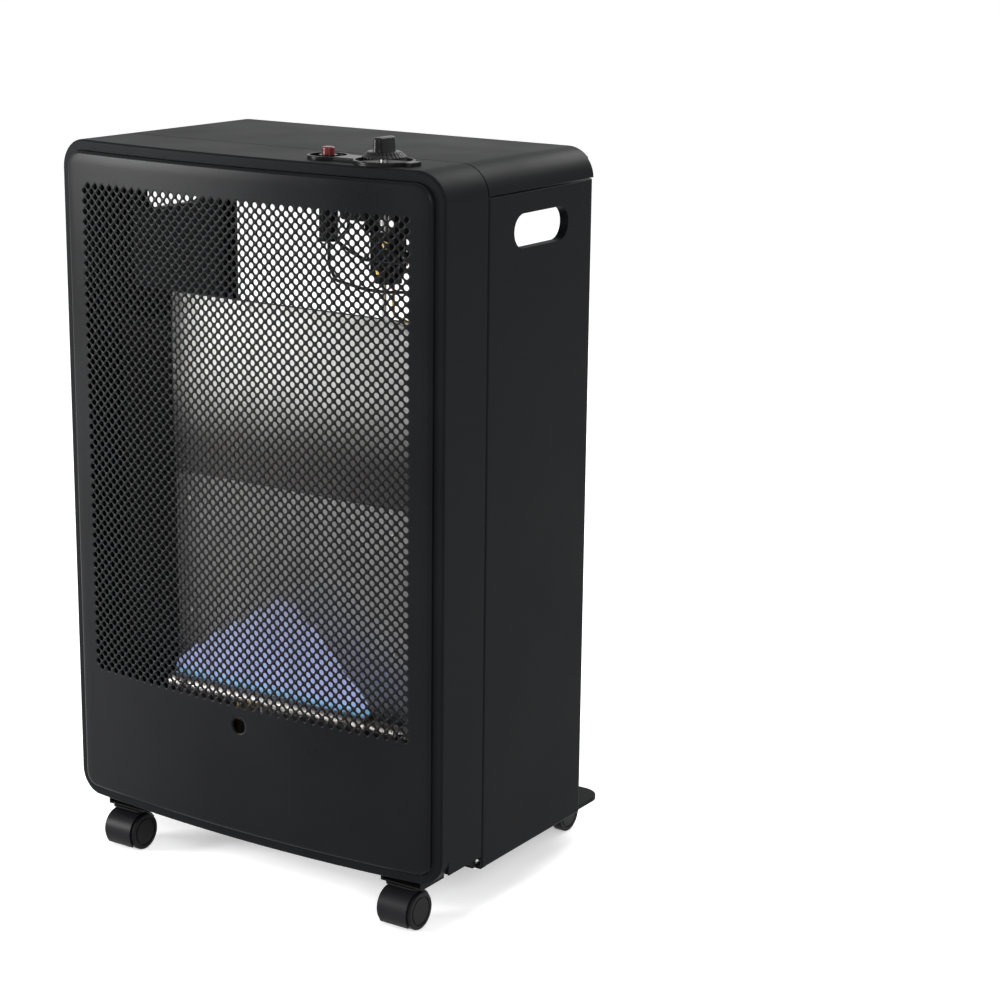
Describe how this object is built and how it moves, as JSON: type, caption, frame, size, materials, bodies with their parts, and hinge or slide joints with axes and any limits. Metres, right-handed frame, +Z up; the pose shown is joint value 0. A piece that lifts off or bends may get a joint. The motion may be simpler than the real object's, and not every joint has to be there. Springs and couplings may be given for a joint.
{
  "type": "portable propane heater",
  "caption": "Folding cabinet heater with a bowed perforated front, blue-flame burner, fold-in side panels, lid, cylinder tray on twin-wheel casters, top knob and igniter button.",
  "frame": {"origin": "centre of the bounding box on the floor", "axes": "+Z up, the perforated front faces -Y, +X to the right seen from the front"},
  "size_m": [0.432, 0.3324, 0.72],
  "materials": {
    "black_enamel": "satin powder coat",
    "bright_sheet": "rolled",
    "dark_sheet": "matt",
    "zinc": "zinc plated",
    "brass": "turned",
    "aluminium_tube": "drawn",
    "black_plastic": "satin",
    "grey_plastic": "moulded",
    "red_plastic": "gloss",
    "white_ceramic": "glazed",
    "red_cover": "insulation",
    "black_cover": "insulation"
  },
  "bodies": {
    "cabinet": {"front_shell": "black_enamel", "front_panel": "black_enamel", "rear_frame": "dark_sheet", "base_plate": "dark_sheet", "upper_deflector": "bright_sheet", "lower_reflector": "bright_sheet", "left_baffle": "dark_sheet", "right_baffle": "dark_sheet", "burner_tube": "bright_sheet", "left_burner_bracket": "zinc", "right_burner_bracket": "zinc", "mixing_tube": "bright_sheet", "injector": "brass", "supply_pipe": "aluminium_tube", "pilot_burner": "brass", "pilot_bracket": "zinc", "ignition_electrode": "white_ceramic", "thermocouple": "brass", "pilot_pipe": "aluminium_tube", "gas_valve": "dark_sheet", "valve_bracket": "dark_sheet", "inlet_nozzle": "brass", "control_bezel": "black_plastic", "igniter_body": "black_plastic", "ignition_lead": "black_cover", "thermocouple_lead": "brass", "tilt_switch": "black_plastic", "tilt_switch_bracket": "dark_sheet", "red_lead": "red_cover", "switch_lead": "black_cover", "left_hinge_brackets": "dark_sheet", "right_hinge_brackets": "dark_sheet", "left_hinge_pins": "zinc", "right_hinge_pins": "zinc", "lid_hinge_brackets": "dark_sheet", "lid_hinge_pins": "zinc", "tray_arms": "dark_sheet", "tray_hinge_rod": "zinc", "frame_screws": "zinc", "front_caster_mounts": "dark_sheet", "front_left_caster_stem": "dark_sheet", "front_right_caster_stem": "dark_sheet"},
    "right_panel": {"right_side_panel": "black_enamel"},
    "left_panel": {"left_side_panel": "black_enamel"},
    "lid": {"lid": "black_enamel"},
    "tray": {"tray": "black_enamel", "rear_left_caster_stem": "dark_sheet", "rear_right_caster_stem": "dark_sheet"},
    "spindle": {"valve_spindle": "zinc"},
    "knob": {"control_knob": "black_plastic"},
    "button": {"igniter_button": "red_plastic"},
    "front_left_caster_swivel": {"front_left_caster_hood": "grey_plastic"},
    "front_left_caster_wheels": {"front_left_caster_wheels": "grey_plastic"},
    "front_right_caster_swivel": {"front_right_caster_hood": "grey_plastic"},
    "front_right_caster_wheels": {"front_right_caster_wheels": "grey_plastic"},
    "rear_left_caster_swivel": {"rear_left_caster_hood": "grey_plastic"},
    "rear_left_caster_wheels": {"rear_left_caster_wheels": "grey_plastic"},
    "rear_right_caster_swivel": {"rear_right_caster_hood": "grey_plastic"},
    "rear_right_caster_wheels": {"rear_right_caster_wheels": "grey_plastic"}
  },
  "joints": [
    {"name": "right_panel_fold", "type": "hinge", "parent": "cabinet", "child": "right_panel", "pos_m": [0.205, -0.07625, 0.35], "axis": [0, 0, 1], "range_deg": [0, 90]},
    {"name": "left_panel_fold", "type": "hinge", "parent": "cabinet", "child": "left_panel", "pos_m": [-0.205, -0.07625, 0.35], "axis": [0, 0, -1], "range_deg": [0, 90]},
    {"name": "lid_hinge", "type": "hinge", "parent": "cabinet", "child": "lid", "pos_m": [0, -0.07525, 0.6934], "axis": [1, 0, 0], "range_deg": [0, 100]},
    {"name": "tray_hinge", "type": "hinge", "parent": "cabinet", "child": "tray", "pos_m": [0, -0.05325, 0.035], "axis": [1, 0, 0], "range_deg": [0, 90]},
    {"name": "knob_push", "type": "slide", "parent": "cabinet", "child": "spindle", "axis": [0, 0, -1], "range_m": [0, 0.004], "stiffness_N_per_m": 900},
    {"name": "knob_turn", "type": "hinge", "parent": "spindle", "child": "knob", "pos_m": [0.139, -0.12725, 0.7], "axis": [0, 0, 1], "range_deg": [0, 180]},
    {"name": "button_push", "type": "slide", "parent": "cabinet", "child": "button", "axis": [0, 0, -1], "range_m": [0, 0.005], "stiffness_N_per_m": 800},
    {"name": "front_left_swivel", "type": "hinge", "parent": "cabinet", "child": "front_left_caster_swivel", "pos_m": [-0.166, -0.12225, 0.03], "axis": [0, 0, 1], "continuous": true},
    {"name": "front_left_roll", "type": "hinge", "parent": "front_left_caster_swivel", "child": "front_left_caster_wheels", "pos_m": [-0.166, -0.13325, 0.018], "axis": [1, 0, 0], "continuous": true},
    {"name": "front_right_swivel", "type": "hinge", "parent": "cabinet", "child": "front_right_caster_swivel", "pos_m": [0.166, -0.12225, 0.03], "axis": [0, 0, 1], "continuous": true},
    {"name": "front_right_roll", "type": "hinge", "parent": "front_right_caster_swivel", "child": "front_right_caster_wheels", "pos_m": [0.166, -0.13325, 0.018], "axis": [1, 0, 0], "continuous": true},
    {"name": "rear_left_swivel", "type": "hinge", "parent": "tray", "child": "rear_left_caster_swivel", "pos_m": [-0.153, 0.13575, 0.03], "axis": [0, 0, 1], "continuous": true},
    {"name": "rear_left_roll", "type": "hinge", "parent": "rear_left_caster_swivel", "child": "rear_left_caster_wheels", "pos_m": [-0.153, 0.14675, 0.018], "axis": [1, 0, 0], "continuous": true},
    {"name": "rear_right_swivel", "type": "hinge", "parent": "tray", "child": "rear_right_caster_swivel", "pos_m": [0.153, 0.13575, 0.03], "axis": [0, 0, 1], "continuous": true},
    {"name": "rear_right_roll", "type": "hinge", "parent": "rear_right_caster_swivel", "child": "rear_right_caster_wheels", "pos_m": [0.153, 0.14675, 0.018], "axis": [1, 0, 0], "continuous": true}
  ]
}
